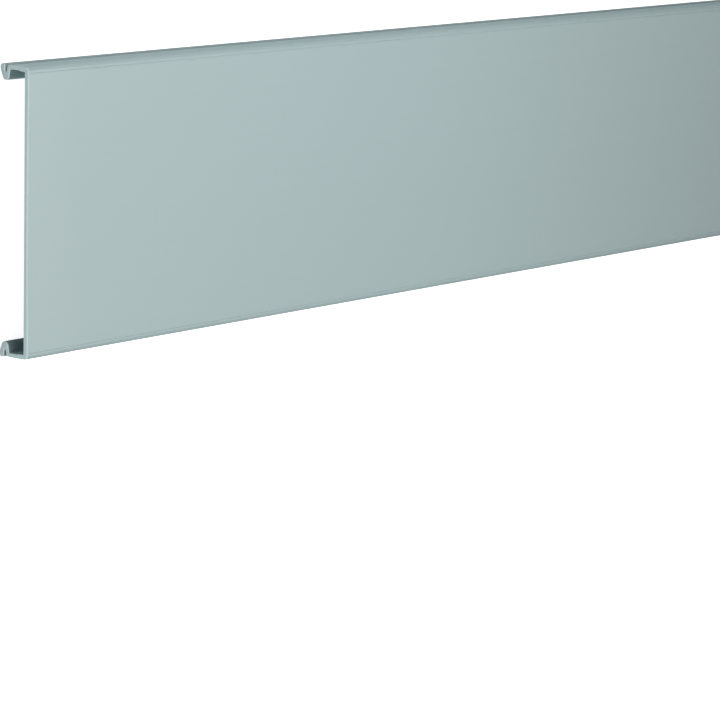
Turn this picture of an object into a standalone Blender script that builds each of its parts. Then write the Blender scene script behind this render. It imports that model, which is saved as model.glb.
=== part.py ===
"""Clip-on cover for cable trunking: one sawn length of a rigid PVC extrusion.

The cover lies face up. X runs along its length, Y across its width, and Z up out of the face.
The origin is at the middle of the length, on the floor that the two snap beads rest on.

The section is drawn for one edge of the cover and mirrored. A point of it is (inset, drop):
inset is how far it lies inside the widest line, and drop is how far it lies below the face.
"""

import math

import bmesh
import bpy

# Overall size, in metres
LENGTH = 2.0
WIDTH = 0.080
DEPTH = 0.0110

# Web, with the fine line that runs beside each edge of the face
WEB_THICKNESS = 0.0016
LINE_INSET = 0.0020
LINE_WIDTH = 0.0004
LINE_DEPTH = 0.00008

# Side return: it leans out from the corner to its upright stretch
CORNER_RADIUS = 0.0013
CORNER_INSET = 0.00035
RETURN_INSET = 0.00025
RETURN_LEAN_END = 0.0043
RETURN_ROUND_START = 0.0073
RETURN_INNER_INSET = 0.00138
ROOT_INNER_INSET = 0.0016
ROOT_RAMP_START = 0.0032
ROOT_RAMP_END = 0.0041
ROOT_FILLET = 0.00025

# Slot between the two legs of the snap bead, open at the side of the cover
SLOT_INNER_TOP = 0.0084
SLOT_INNER_END = 0.0087
SLOT_OUTER_END = 0.0091
SLOT_OUTER_TOP = 0.0093
SLOT_END_INSET = 0.0021

# Outer leg, which ends in the narrow flat that the cover rests on
TIP_ROUND = 0.0004
HEEL_ROUND = 0.0007
REST_INSET_END = 0.0015

# Nose of the bead and the inner leg
NOSE_RADIUS = 0.00132
NOSE_INSET = 0.0031
NOSE_DROP = 0.0089
LEG_DROP = 0.0073
LEG_FILLET = 0.0003

QUARTER_STEPS = 8
SHARP_ANGLE = math.radians(30.0)

COVER_COLOUR = (0.316, 0.405, 0.411, 1.0)
COVER_ROUGHNESS = 0.48


def clear_scene():
    """Remove whatever the file holds."""
    for old in list(bpy.data.objects):
        bpy.data.objects.remove(old, do_unlink=True)


def arc(centre, radius, start, end, steps=QUARTER_STEPS):
    """Points of an arc; angles in degrees turn from deeper inset towards deeper drop."""
    points = []
    for step in range(steps + 1):
        angle = math.radians(start + (end - start) * step / steps)
        inset = centre[0] + radius * math.cos(angle)
        drop = centre[1] + radius * math.sin(angle)
        points.append((inset, drop))
    return points


def tangent_angle(point, centre, radius, side):
    """Angle, in degrees, at which a line from the point touches the circle on the given side."""
    across = point[0] - centre[0]
    down = point[1] - centre[1]
    away = math.atan2(down, across)
    spread = math.acos(radius / math.hypot(across, down))
    return math.degrees(away + side * spread)


def edge_outline():
    """Outline of one edge of the section, from the face round the bead to the web's underside."""
    outline = [
        (LINE_INSET + LINE_WIDTH / 2, 0.0),
        (LINE_INSET, LINE_DEPTH),
        (LINE_INSET - LINE_WIDTH / 2, 0.0),
    ]

    # Rounded front corner, then the leaning and the upright stretch of the return
    corner = (CORNER_INSET + CORNER_RADIUS, CORNER_RADIUS)
    outline += arc(corner, CORNER_RADIUS, 270.0, 180.0)
    outline.append((RETURN_INSET, RETURN_LEAN_END))

    # Into the slot, round its blind end and out again along the outer leg
    mouth_radius = SLOT_INNER_TOP - RETURN_ROUND_START
    mouth = (RETURN_INSET + mouth_radius, RETURN_ROUND_START)
    outline += arc(mouth, mouth_radius, 180.0, 90.0)
    blind = (SLOT_END_INSET, (SLOT_INNER_END + SLOT_OUTER_END) / 2)
    outline += arc(blind, (SLOT_OUTER_END - SLOT_INNER_END) / 2, -90.0, 90.0)
    outline += arc((TIP_ROUND, SLOT_OUTER_TOP + TIP_ROUND), TIP_ROUND, 270.0, 180.0)

    # Rounded heel of the outer leg, and the narrow flat that meets the floor
    outline += arc((HEEL_ROUND, DEPTH - HEEL_ROUND), HEEL_ROUND, 180.0, 90.0)
    outline.append((REST_INSET_END, DEPTH))

    # Rounded nose between the slanting back of the outer leg and the inner leg
    nose = (NOSE_INSET, NOSE_DROP)
    leg_root = (RETURN_INNER_INSET + LEG_FILLET, LEG_DROP)
    leave = tangent_angle((REST_INSET_END, DEPTH), nose, NOSE_RADIUS, -1)
    arrive = tangent_angle(leg_root, nose, NOSE_RADIUS, 1)
    outline += arc(nose, NOSE_RADIUS, leave, arrive, 2 * QUARTER_STEPS)

    # Inner side of the return, thicker at its root, and the web's underside
    fillet = (leg_root[0], LEG_DROP - LEG_FILLET)
    outline += arc(fillet, LEG_FILLET, 90.0, 180.0, QUARTER_STEPS // 2)
    outline.append((RETURN_INNER_INSET, ROOT_RAMP_END))
    outline.append((ROOT_INNER_INSET, ROOT_RAMP_START))
    root = (ROOT_INNER_INSET + ROOT_FILLET, WEB_THICKNESS + ROOT_FILLET)
    outline += arc(root, ROOT_FILLET, 180.0, 270.0, QUARTER_STEPS // 2)
    return outline


def section():
    """The whole closed section as (y, z) points: one edge, then the other mirrored."""
    edge = edge_outline()
    right = [(WIDTH / 2 - inset, DEPTH - drop) for inset, drop in edge]
    left = [(-y, z) for y, z in reversed(right)]
    return right + left


def plastic(name, colour, roughness):
    """Principled material for a matt plastic."""
    material = bpy.data.materials.new(name)
    material.use_nodes = True
    shader = material.node_tree.nodes["Principled BSDF"]
    shader.inputs["Base Color"].default_value = colour
    shader.inputs["Roughness"].default_value = roughness
    shader.inputs["Metallic"].default_value = 0.0
    return material


def extrude_section(name, outline, length, material):
    """Solid of the outline, centred along X, as a named object."""
    mesh = bpy.data.meshes.new(name)
    bm = bmesh.new()
    corners = [bm.verts.new((-length / 2, y, z)) for y, z in outline]
    end_face = bm.faces.new(corners)
    grown = bmesh.ops.extrude_face_region(bm, geom=[end_face])
    far_corners = [item for item in grown["geom"] if isinstance(item, bmesh.types.BMVert)]
    bmesh.ops.translate(bm, vec=(length, 0.0, 0.0), verts=far_corners)
    bmesh.ops.recalc_face_normals(bm, faces=bm.faces)
    bm.to_mesh(mesh)
    bm.free()
    mesh.shade_smooth()
    mesh.set_sharp_from_angle(angle=SHARP_ANGLE)
    mesh.materials.append(material)
    solid = bpy.data.objects.new(name, mesh)
    bpy.context.scene.collection.objects.link(solid)
    return solid


def build():
    clear_scene()
    grey_pvc = plastic("grey_pvc", COVER_COLOUR, COVER_ROUGHNESS)
    extrude_section("trunking_cover", section(), LENGTH, grey_pvc)


build()
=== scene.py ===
import bmesh
import bpy
import numpy as np
from mathutils import Matrix, Vector


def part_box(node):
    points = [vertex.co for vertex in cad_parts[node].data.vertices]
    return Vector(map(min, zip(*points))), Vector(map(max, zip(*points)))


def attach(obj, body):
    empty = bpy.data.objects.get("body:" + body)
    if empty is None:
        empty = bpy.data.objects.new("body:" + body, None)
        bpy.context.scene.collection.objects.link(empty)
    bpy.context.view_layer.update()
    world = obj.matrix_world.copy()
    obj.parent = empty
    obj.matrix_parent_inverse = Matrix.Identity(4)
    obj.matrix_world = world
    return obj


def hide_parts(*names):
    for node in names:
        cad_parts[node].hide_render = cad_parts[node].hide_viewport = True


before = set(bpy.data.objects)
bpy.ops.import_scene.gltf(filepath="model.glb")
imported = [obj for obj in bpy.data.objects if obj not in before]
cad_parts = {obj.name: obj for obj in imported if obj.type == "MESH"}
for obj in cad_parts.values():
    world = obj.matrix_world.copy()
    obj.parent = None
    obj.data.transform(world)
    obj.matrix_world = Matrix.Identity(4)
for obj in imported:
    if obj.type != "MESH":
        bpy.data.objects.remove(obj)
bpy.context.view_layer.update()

# The cover is one length of rigid PVC. It was pushed hot through a die in one constant section,
# so nothing on it changes along its length: a thin web carries the face, and along each edge a
# short return turns down and ends in a V-shaped bead that springs over the trunking's rim.
WEB_THICKNESS = 0.0016
FACE_HOLLOW = 0.00032
LINE_INSET = 0.0020
LINE_WIDTH = 0.0004
LINE_DEPTH = 0.00008
LINE_REACH = 0.75
CORNER_RADIUS = 0.0013
CORNER_INSET = 0.00035
RETURN_INSET = 0.00025
RETURN_LEAN_END = 0.0043
RETURN_ROUND_START = 0.0073
RETURN_INNER_INSET = 0.00138
ROOT_INNER_INSET = 0.0016
ROOT_RAMP_START = 0.0032
ROOT_RAMP_END = 0.0041
ROOT_FILLET = 0.00025
SLOT_INNER_TOP = 0.0084
SLOT_INNER_END = 0.0087
SLOT_OUTER_END = 0.0091
SLOT_OUTER_TOP = 0.0093
SLOT_END_INSET = 0.0021
TIP_ROUND = 0.0004
HEEL_ROUND = 0.0007
REST_INSET_END = 0.0015
NOSE_RADIUS = 0.00132
NOSE_INSET = 0.0031
NOSE_DROP = 0.0089
LEG_DROP = 0.0073
LEG_FILLET = 0.0003

RUN_STEP = 0.0005
FACE_STEPS = 36
UNDERSIDE_STEPS = 18
LINE_STEPS = 12
ROUND_STEPS = 12
TIP_STEPS = 8
NOSE_STEPS = 24
FILLET_STEPS = 6

low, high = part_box("trunking_cover")
half_length, half_width, face_height = high
depth = high.z - low.z


def arc(inset, drop, radius, start, end, steps=ROUND_STEPS):
    """Round stretch of the section: its centre plus radius times (cosine, sine) of the angles.

    Start and end are in degrees, and turn from deeper inset towards deeper drop.
    """
    angles = np.radians(np.linspace(start, end, steps + 1))
    return np.column_stack([inset + radius * np.cos(angles), drop + radius * np.sin(angles)])


def touching_angle(point, centre, radius, side):
    """Angle at which a line from the point touches the circle.

    It is the direction from the centre to the point, turned to one side by the arc cosine of
    radius over distance.
    """
    across, down = np.subtract(point, centre)
    spread = np.arccos(radius / np.hypot(across, down))
    return np.degrees(np.arctan2(down, across) + side * spread)


def stepped(points, step):
    """Cuts each straight run of the outline into equal parts no longer than the step."""
    reach = np.diff(points, axis=0)
    parts = np.ceil(np.hypot(*reach.T) / step).astype(int)
    run = np.repeat(np.arange(len(parts)), parts)
    part = np.arange(len(run)) - np.repeat(np.cumsum(parts) - parts, parts)
    return np.vstack([points[run] + reach[run] * (part / parts[run])[:, None], points[-1:]])


def edge_outline(line_depth):
    """One edge as (inset from the widest line, drop below the face), from the face to the underside.

    The fine line beside the edge is a cosine-squared dip, one line width across, with a flat
    margin on both sides; the rest is arcs joined by straight runs.
    """
    across_line = np.linspace(LINE_REACH, -LINE_REACH, LINE_STEPS + 1)
    dip = np.cos(np.pi * np.clip(across_line, -0.5, 0.5)) ** 2
    mouth_radius = SLOT_INNER_TOP - RETURN_ROUND_START
    blind_radius = (SLOT_OUTER_END - SLOT_INNER_END) / 2
    nose = (NOSE_INSET, NOSE_DROP)
    rest_end = (REST_INSET_END, depth)
    leg_root = (RETURN_INNER_INSET + LEG_FILLET, LEG_DROP)
    leg_fillet = (leg_root[0], LEG_DROP - LEG_FILLET)
    web_fillet = (ROOT_INNER_INSET + ROOT_FILLET, WEB_THICKNESS + ROOT_FILLET)
    leave = touching_angle(rest_end, nose, NOSE_RADIUS, -1)
    arrive = touching_angle(leg_root, nose, NOSE_RADIUS, 1)
    outline = np.vstack([
        np.column_stack([LINE_INSET + LINE_WIDTH * across_line, line_depth * dip]),
        arc(CORNER_INSET + CORNER_RADIUS, CORNER_RADIUS, CORNER_RADIUS, 270, 180),
        [(RETURN_INSET, RETURN_LEAN_END)],
        arc(RETURN_INSET + mouth_radius, RETURN_ROUND_START, mouth_radius, 180, 90),
        arc(SLOT_END_INSET, SLOT_INNER_END + blind_radius, blind_radius, -90, 90),
        arc(TIP_ROUND, SLOT_OUTER_TOP + TIP_ROUND, TIP_ROUND, 270, 180, TIP_STEPS),
        arc(HEEL_ROUND, depth - HEEL_ROUND, HEEL_ROUND, 180, 90, TIP_STEPS),
        [rest_end],
        arc(*nose, NOSE_RADIUS, leave, arrive, NOSE_STEPS),
        arc(*leg_fillet, LEG_FILLET, 90, 180, FILLET_STEPS),
        [(RETURN_INNER_INSET, ROOT_RAMP_END), (ROOT_INNER_INSET, ROOT_RAMP_START)],
        arc(*web_fillet, ROOT_FILLET, 180, 270, FILLET_STEPS),
    ])
    return stepped(outline, RUN_STEP)


def section_outline(line_depth):
    """The closed section as (y, z): one edge, the underside, the mirrored edge, then the face.

    The face is a shallow hollow, a parabola that is deepest midway between the two fine lines.
    """
    edge = edge_outline(line_depth)
    right = np.column_stack([half_width - edge[:, 0], face_height - edge[:, 1]])
    left = right[::-1] * (-1, 1)
    under_y = np.linspace(right[-1, 0], left[0, 0], UNDERSIDE_STEPS + 1)[1:-1]
    face_y = np.linspace(left[-1, 0], right[0, 0], FACE_STEPS + 1)[1:-1]
    hollow = FACE_HOLLOW * (1 - (face_y / right[0, 0]) ** 2)
    underside = np.column_stack([under_y, np.full_like(under_y, face_height - WEB_THICKNESS)])
    return np.vstack([right, underside, left, np.column_stack([face_y, face_height - hollow])])


def outward(outline):
    """Unit normals of the closed outline: the mean direction of its two runs, turned a quarter left."""
    run = np.roll(outline, -1, axis=0) - outline
    run /= np.hypot(*run.T)[:, None]
    along = run + np.roll(run, 1, axis=0)
    along /= np.hypot(*along.T)[:, None]
    return along[:, ::-1] * (-1, 1)


# Both ends were sawn square and the burr was scraped off, most on the side of the face. So the
# edge of each cut is a narrow round, paler than the rest where the blade whitened the plastic,
# and painted paler still as a highlight along the edge.
ARRIS_RADIUS = 0.00012
FACE_ARRIS_EXTRA = 0.00023
ARRIS_STEPS = 6
STATION_STEP = 0.020


def cover_rings():
    """Points of the cover as (ring, point, xyz), and how far each ring is made pale with painted
    highlight.

    Over the round of an end, with t from 0 at the cut to a quarter turn, the section is drawn in
    by radius times (1 - sine t) while it moves away from the cut by radius times (1 - cosine t),
    and its pale colour with painted highlight goes by cosine t. Between the two rounds the rings are
    evenly spaced.
    """
    outline = section_outline(LINE_DEPTH)
    normal = outward(section_outline(0.0))
    radius = ARRIS_RADIUS + FACE_ARRIS_EXTRA * np.clip(normal[:, 1], 0, 1)
    turn = np.linspace(0, np.pi / 2, ARRIS_STEPS + 1)[:, None]
    drawn_in = radius * (1 - np.sin(turn))
    from_cut = radius * (1 - np.cos(turn))
    stations = int(np.ceil(2 * half_length / STATION_STEP))
    body = np.linspace(-half_length, half_length, stations + 1)[1:-1, None]
    along = np.vstack([from_cut - half_length, np.tile(body, len(radius)), half_length - from_cut[::-1]])
    inward = np.vstack([drawn_in, np.zeros((len(body), len(radius))), drawn_in[::-1]])
    across = outline - inward[:, :, None] * normal
    edge_pale_highlight = np.concatenate([np.cos(turn[:, 0]), np.zeros(len(body)), np.cos(turn[::-1, 0])])
    return np.dstack([along, across]), edge_pale_highlight


# Painted shade in the slot of each bead: the colour there is darkened to stand for the shade in
# the recess. It thins out over the rounded mouth of the slot and over the outside of the outer leg.
SHADE_MOUTH_EDGE = 0.0001
SHADE_TIP_EDGE = 0.0004
SHADE_END_MARGIN = 0.0003


def slot_painted_shade(outline):
    """How much painted shade each point of the outline gets: 1 between the legs of a bead, and 0 outside
    the slot.

    It follows the drop below the face in straight ramps: up over the mouth, down past the tip.
    """
    inset = half_width - np.abs(outline[:, 0])
    drop = face_height - outline[:, 1]
    tip_end = SLOT_OUTER_TOP + TIP_ROUND
    ramps = [RETURN_ROUND_START + SHADE_MOUTH_EDGE, SLOT_INNER_TOP, tip_end, tip_end + SHADE_TIP_EDGE]
    return np.interp(drop, ramps, [0, 1, 1, 0]) * (inset < SLOT_END_INSET + SHADE_END_MARGIN)


# The skin of the cover is one closed mesh. Its long faces are shaded smooth round the arcs of the
# section, and the two cuts are flat.
SHARP_ANGLE = np.radians(30)
FLAT_CUT_FACING = 0.9999


def cover_mesh(name):
    """Closed mesh of the rings: a quad between neighbours on two rings, and a cut face at each end."""
    rings, edge_pale_highlight = cover_rings()
    count, around = rings.shape[:2]
    here = np.arange(count * around).reshape(count, around)
    next_point = np.roll(here, -1, axis=1)
    sides = np.dstack([here[:-1], here[1:], next_point[1:], next_point[:-1]]).reshape(-1, 4)
    cuts = [here[0].tolist(), here[-1, ::-1].tolist()]
    mesh = bpy.data.meshes.new(name)
    mesh.from_pydata(rings.reshape(-1, 3).tolist(), [], sides.tolist() + cuts)
    shaped = bmesh.new()
    shaped.from_mesh(mesh)
    bmesh.ops.triangulate(shaped, faces=[face for face in shaped.faces if len(face.verts) > 4])
    shaped.to_mesh(mesh)
    shaped.free()
    facing = np.empty(3 * len(mesh.polygons))
    mesh.polygons.foreach_get("normal", facing)
    mesh.polygons.foreach_set("use_smooth", np.abs(facing[::3]) < FLAT_CUT_FACING)
    mesh.set_sharp_from_angle(angle=SHARP_ANGLE)
    # Weight of the pale colour with painted highlight at the cut edges, for each point.
    mesh.attributes.new("edge_pale_highlight", "FLOAT", "POINT").data.foreach_set("value", np.repeat(edge_pale_highlight, around))
    # Weight of the painted shade in the slots of the beads, for each point.
    slot_shade_weight = np.tile(slot_painted_shade(section_outline(LINE_DEPTH)), count)
    mesh.attributes.new("slot_shade_weight", "FLOAT", "POINT").data.foreach_set("value", slot_shade_weight)
    return mesh


# The plastic is a cool light grey, coloured through and through. The die left a satin skin on the
# face and a duller one below it, with faint streaks along the length. Below the face the colour is
# also painted slightly cooler and darker in red, as painted shade on the sides. The slots are
# painted darker as shade, and the edges of the cuts paler as a highlight. The cuts show the marks of the
# blade.
PVC_DARK = (0.304, 0.396, 0.402, 1.0)
PVC_LIGHT = (0.318, 0.414, 0.420, 1.0)
PVC_EDGE_HIGHLIGHT = (0.565, 0.660, 0.670, 1.0)
PVC_SLOT_SHADE = (0.255, 0.325, 0.330, 1.0)
SIDE_SHADE_TINT = (0.935, 0.995, 1.02, 1.0)
STREAK_TONE = 0.8
PVC_IOR = 1.53
FACE_ROUGHNESS = 0.42
SIDE_ROUGHNESS = 0.66
CUT_ROUGHNESS = 0.60
STREAK_ROUGHNESS = 0.05
CLOUD_ROUGHNESS = 0.06
FACE_SKIN_DROP = 0.0006
STREAK_STRETCH = (1.2, 420.0, 420.0)
CLOUD_SCALE = 9.0
GRAIN_SCALE = 2400.0
STREAK_HEIGHT = 0.0000006
GRAIN_HEIGHT = 0.0000012
CUT_MARGIN = 0.000012
BLADE_CENTRE = (0.0, 0.062, 0.128)
BLADE_PITCH = 0.00042
BLADE_WANDER = 6.0
BLADE_CHATTER = 2.0
BLADE_HEIGHT = 0.000008


class Socket:
    """A shader socket; arithmetic on it adds the Math nodes that work it out."""

    def __init__(self, tree, output):
        self.tree = tree
        self.output = output

    def node(self, kind, settings, values, output=0):
        """Adds a node: its settings first, then its sockets' values or links."""
        added = self.tree.nodes.new(kind)
        for name, value in settings.items():
            setattr(added, name, value)
        for key, value in values.items():
            if isinstance(value, Socket):
                self.tree.links.new(value.output, added.inputs[key])
            else:
                added.inputs[key].default_value = value
        return Socket(self.tree, added.outputs[output])

    def math(self, operation, other=0.0):
        return self.node("ShaderNodeMath", {"operation": operation}, {0: self, 1: other})

    def feed(self, socket):
        """Links the value to a socket of a shader."""
        self.tree.links.new(self.output, socket)

    def __add__(self, other):
        return self.math("ADD", other)

    __radd__ = __add__

    def __mul__(self, other):
        return self.math("MULTIPLY", other)

    __rmul__ = __mul__

    def __sub__(self, other):
        return self.math("SUBTRACT", other)

    def __rsub__(self, other):
        return self * -1.0 + other


def noise(place, scale, detail):
    """Smooth noise at the place, level about zero."""
    return place.node("ShaderNodeTexNoise", {}, {"Vector": place, "Scale": scale, "Detail": detail}) - 0.5


def attribute(place, name):
    """Value that the mesh stores at its points under the name."""
    return place.node("ShaderNodeAttribute", {"attribute_name": name}, {}, "Fac")


def blended(factor, first, second, way="MIX"):
    """Two colours mixed by the factor, in one of the Mix node's ways; 6 and 7 are its colour sockets."""
    settings = {"data_type": "RGBA", "blend_type": way}
    return factor.node("ShaderNodeMix", settings, {0: factor, 6: first, 7: second}, 2)


def blade_marks(place, cloud, grain):
    """Waves across the cut: the sine of the distance from the blade's centre, wandering with the noise."""
    flattened = place.node(
        "ShaderNodeVectorMath", {"operation": "MULTIPLY"}, {0: place, 1: (0.0, 1.0, 1.0)}
    )
    sweep = place.node(
        "ShaderNodeVectorMath", {"operation": "DISTANCE"}, {0: flattened, 1: BLADE_CENTRE}, "Value"
    )
    turns = sweep * (2 * np.pi / BLADE_PITCH) + BLADE_WANDER * cloud + BLADE_CHATTER * grain
    return turns.math("SINE")


def grey_pvc():
    """Satin PVC: tone, sheen and skin from noise along the length, and blade marks on the cuts."""
    material = bpy.data.materials.new("grey_pvc_satin")
    material.use_nodes = True
    tree = material.node_tree
    shader = tree.nodes["Principled BSDF"]
    place = Socket(tree, tree.nodes.new("ShaderNodeTexCoord").outputs["Object"])

    lengthwise = place.node("ShaderNodeMapping", {}, {"Vector": place, "Scale": STREAK_STRETCH})
    streak = noise(lengthwise, 1.0, 3.0)
    cloud = noise(place, CLOUD_SCALE, 2.0)
    grain = noise(place, GRAIN_SCALE, 1.0)

    along = place.node("ShaderNodeSeparateXYZ", {}, {"Vector": place}, "X")
    cut = along.math("ABSOLUTE").math("GREATER_THAN", half_length - CUT_MARGIN)
    uncut = 1.0 - cut
    below = place.node("ShaderNodeMapRange", {}, {
        "Value": place.node("ShaderNodeSeparateXYZ", {}, {"Vector": place}, "Z"),
        "From Min": face_height - FACE_SKIN_DROP,
        "From Max": face_height - CORNER_RADIUS,
    })

    skin = blended(0.5 + STREAK_TONE * streak + cloud, PVC_DARK, PVC_LIGHT)
    # Painted shade: the sides below the face are tinted cooler and darker in red.
    side_shaded = blended(below * uncut, skin, SIDE_SHADE_TINT, "MULTIPLY")
    # Painted shade: the slots of the beads are darkened, standing for the shade in the recess.
    shaded_in_slots = blended(attribute(place, "slot_shade_weight") * uncut, side_shaded, PVC_SLOT_SHADE)
    # Painted highlight: the edges of the cuts are made paler, partly the blade's whitening and partly a
    # highlight along the edge.
    blended(attribute(place, "edge_pale_highlight") * uncut, shaded_in_slots, PVC_EDGE_HIGHLIGHT).feed(shader.inputs["Base Color"])

    skin_roughness = FACE_ROUGHNESS + (SIDE_ROUGHNESS - FACE_ROUGHNESS) * below
    unevenness = STREAK_ROUGHNESS * streak + CLOUD_ROUGHNESS * cloud
    roughness = skin_roughness * uncut + CUT_ROUGHNESS * cut + unevenness
    roughness.feed(shader.inputs["Roughness"])
    shader.inputs["Metallic"].default_value = 0.0
    shader.inputs["IOR"].default_value = PVC_IOR

    blade = blade_marks(place, cloud, grain) * cut
    height = STREAK_HEIGHT * streak + GRAIN_HEIGHT * grain + BLADE_HEIGHT * blade
    bump = place.node("ShaderNodeBump", {}, {"Height": height, "Strength": 1.0, "Distance": 1.0})
    bump.feed(shader.inputs["Normal"])
    return material


cover = bpy.data.objects.new("cover_profile", cover_mesh("cover_profile"))
bpy.context.scene.collection.objects.link(cover)
cover.data.materials.append(grey_pvc())
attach(cover, "root")
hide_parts("trunking_cover")

# The cover lies face up on a plain pale board, far wider than the picture. The board also glows,
# but for the camera alone: it shows white close up to the cover, and the glow lights nothing.
FLOOR_REACH = 12.0
FLOOR_PALE = (0.80, 0.80, 0.80, 1.0)
FLOOR_ROUGHNESS = 0.85
FLOOR_GLOW = 0.9


def camera_ray(tree):
    """1 for what the camera sees directly, and 0 for what lights or is mirrored."""
    return Socket(tree, tree.nodes.new("ShaderNodeLightPath").outputs["Is Camera Ray"])


floor_mesh = bpy.data.meshes.new("white_board")
floor_corners = FLOOR_REACH * np.array([(-1, -1, 0), (1, -1, 0), (1, 1, 0), (-1, 1, 0)], float)
floor_mesh.from_pydata(floor_corners.tolist(), [], [(0, 1, 2, 3)])
floor = bpy.data.objects.new("white_board", floor_mesh)
bpy.context.scene.collection.objects.link(floor)
board = bpy.data.materials.new("white_board")
board.use_nodes = True
board_shader = board.node_tree.nodes["Principled BSDF"]
board_shader.inputs["Base Color"].default_value = FLOOR_PALE
board_shader.inputs["Roughness"].default_value = FLOOR_ROUGHNESS
board_shader.inputs["Emission Strength"].default_value = FLOOR_GLOW
camera_ray(board.node_tree).feed(board_shader.inputs["Emission Color"])
floor_mesh.materials.append(board)

# Soft studio light. A dim surround, which shows white to the camera, and three long softboxes
# overhead light the whole cover. Three small softboxes stand round its near end: one above lays a
# sheen on the face, one beyond the left edge lights the return, and one low down lights the cut.
SURROUND = 0.2

world = bpy.data.worlds.new("white_surround")
world.use_nodes = True
surround = world.node_tree.nodes["Background"]
surround.inputs["Color"].default_value = (1.0, 1.0, 1.0, 1.0)
camera_ray(world.node_tree).math("MAXIMUM", SURROUND).feed(surround.inputs["Strength"])
bpy.context.scene.world = world
bpy.context.scene.view_settings.view_transform = "Standard"


def softbox(name, place, aim, size, power):
    """Rectangular area light at a place, facing the aim, hidden from the camera."""
    light = bpy.data.lights.new(name, "AREA")
    light.shape = "RECTANGLE"
    light.size, light.size_y = size
    light.energy = power
    box = bpy.data.objects.new(name, light)
    box.location = place
    box.rotation_mode = "QUATERNION"
    box.rotation_quaternion = (Vector(aim) - Vector(place)).to_track_quat("-Z", "Y")
    box.visible_camera = False
    bpy.context.scene.collection.objects.link(box)


softbox("overhead_softbox", (0.0, 0.0, 1.8), aim=(0.0, 0.0, 0.0), size=(3.4, 1.6), power=12.9)
softbox("far_softbox", (0.35, 0.0, 1.0), aim=(0.35, 0.0, 0.0), size=(1.4, 0.8), power=3.2)
softbox("low_softbox", (0.42, 0.0, 0.42), aim=(0.42, 0.0, 0.0), size=(1.15, 0.5), power=0.55)
softbox("sheen_softbox", (-0.767, 0.02, 0.45), aim=(-1.730, 0.02, 0.183), size=(0.50, 0.35), power=1.66)
softbox("side_softbox", (-0.95, 0.50, 0.42), aim=(-0.92, 0.0, 0.0), size=(0.4, 0.3), power=1.45)
softbox("end_softbox", (-2.15, -0.62, 0.085), aim=(-1.0, 0.0, 0.005), size=(0.6, 0.15), power=12.0)

# The camera stands beyond the near end and looks down along the cover, as the photograph does.
# The picture's upward direction lies almost along +Y, so the cover runs across the frame.
CAMERA_PLACE = Vector((-1.62284, 0.13804, 0.66131))
CAMERA_AIM = Vector((-0.86171, -0.05785, face_height))
UPWARD_TURN = np.radians(2.093)
LENS = 169.03
SENSOR = 36.0
CLIP_START = 0.01
CLIP_END = 100.0

forward = (CAMERA_AIM - CAMERA_PLACE).normalized()
rightward = forward.cross(Vector((-np.sin(UPWARD_TURN), np.cos(UPWARD_TURN), 0.0))).normalized()
upward = rightward.cross(forward)
camera = bpy.data.objects.new("camera", bpy.data.cameras.new("camera"))
camera.data.lens = LENS
camera.data.sensor_width = SENSOR
camera.data.clip_start = CLIP_START
camera.data.clip_end = CLIP_END
camera.matrix_world = Matrix.Translation(CAMERA_PLACE) @ Matrix(
    (rightward, upward, -forward)
).transposed().to_4x4()
bpy.context.scene.collection.objects.link(camera)
bpy.context.scene.camera = camera
